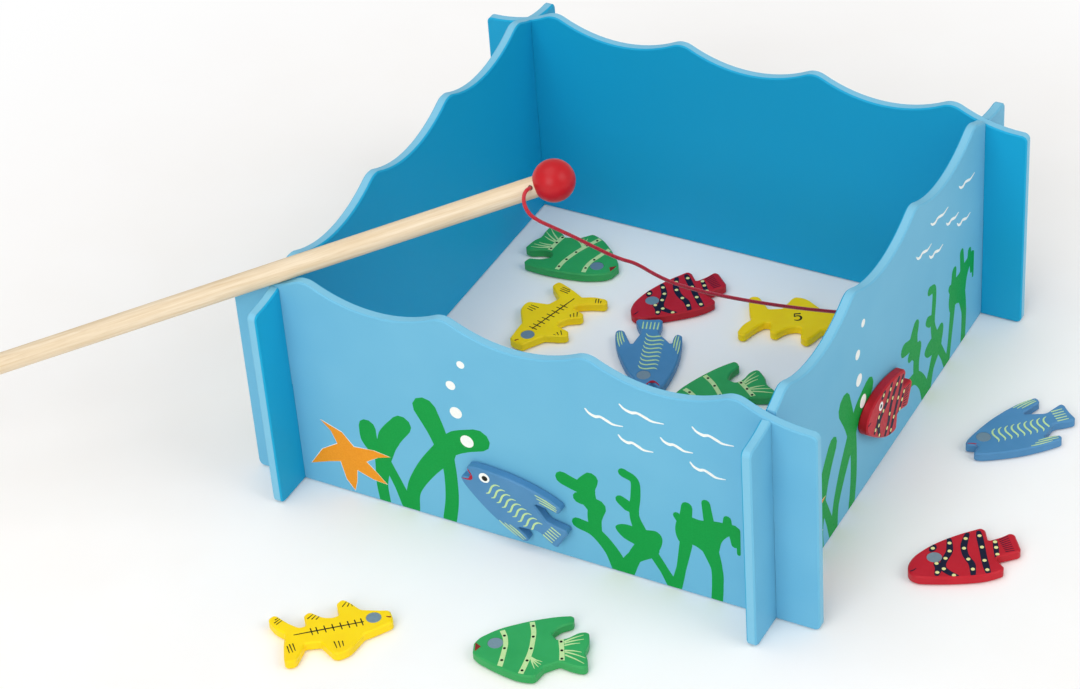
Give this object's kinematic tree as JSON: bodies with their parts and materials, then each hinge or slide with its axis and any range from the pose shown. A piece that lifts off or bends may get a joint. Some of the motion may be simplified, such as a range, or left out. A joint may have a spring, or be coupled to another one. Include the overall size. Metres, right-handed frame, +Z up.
{
  "type": "magnetic fishing game",
  "caption": "Toy fishing game of crossed wave-topped boards forming a pond, flat fish with steel eyes, and a dowel rod with a magnet on a cord.",
  "frame": {"origin": "middle of the front panel's foot, on the floor, halfway through the board's thickness", "axes": "+X along the front panel to the right as the picture shows it, +Y from the front panel towards the back panel, +Z up"},
  "size_m": [0.6637, 0.4567, 0.1725],
  "materials": {
    "panel_board": "sky blue print on board, satin",
    "fish_green": "green paint, satin",
    "fish_yellow": "yellow paint, satin",
    "fish_red": "red paint, satin",
    "fish_blue": "blue paint, satin",
    "eye_steel": "dull zinc-plated steel",
    "rod_wood": "sanded bare wood",
    "ball_paint": "red lacquer, satin",
    "cord_fabric": "braided cord, matt",
    "holder_wood": "red lacquer, satin",
    "magnet_metal": "nickel-plated magnet"
  },
  "bodies": {
    "root": {"front_panel": "panel_board", "right_panel": "panel_board", "back_panel": "panel_board", "left_panel": "panel_board", "front_blue_fish": "fish_blue", "right_red_fish": "fish_red", "back_green_fish": "fish_green", "left_yellow_fish": "fish_yellow", "green_fish_back": "fish_green", "green_fish_back_disc": "eye_steel", "yellow_fish_left": "fish_yellow", "yellow_fish_left_disc": "eye_steel", "red_fish_inside": "fish_red", "red_fish_inside_disc": "eye_steel", "blue_fish_inside": "fish_blue", "blue_fish_inside_disc": "eye_steel", "yellow_fish_turned": "fish_yellow", "yellow_fish_turned_disc": "eye_steel", "green_fish_right": "fish_green", "green_fish_right_disc": "eye_steel", "yellow_fish_front": "fish_yellow", "yellow_fish_front_disc": "eye_steel", "green_fish_front": "fish_green", "green_fish_front_disc": "eye_steel", "red_fish_outside": "fish_red", "red_fish_outside_disc": "eye_steel", "blue_fish_outside": "fish_blue", "blue_fish_outside_disc": "eye_steel", "rod": "rod_wood", "rod_ball": "ball_paint", "cord": "cord_fabric", "magnet_holder": "holder_wood", "magnet": "magnet_metal"}
  },
  "joints": []
}
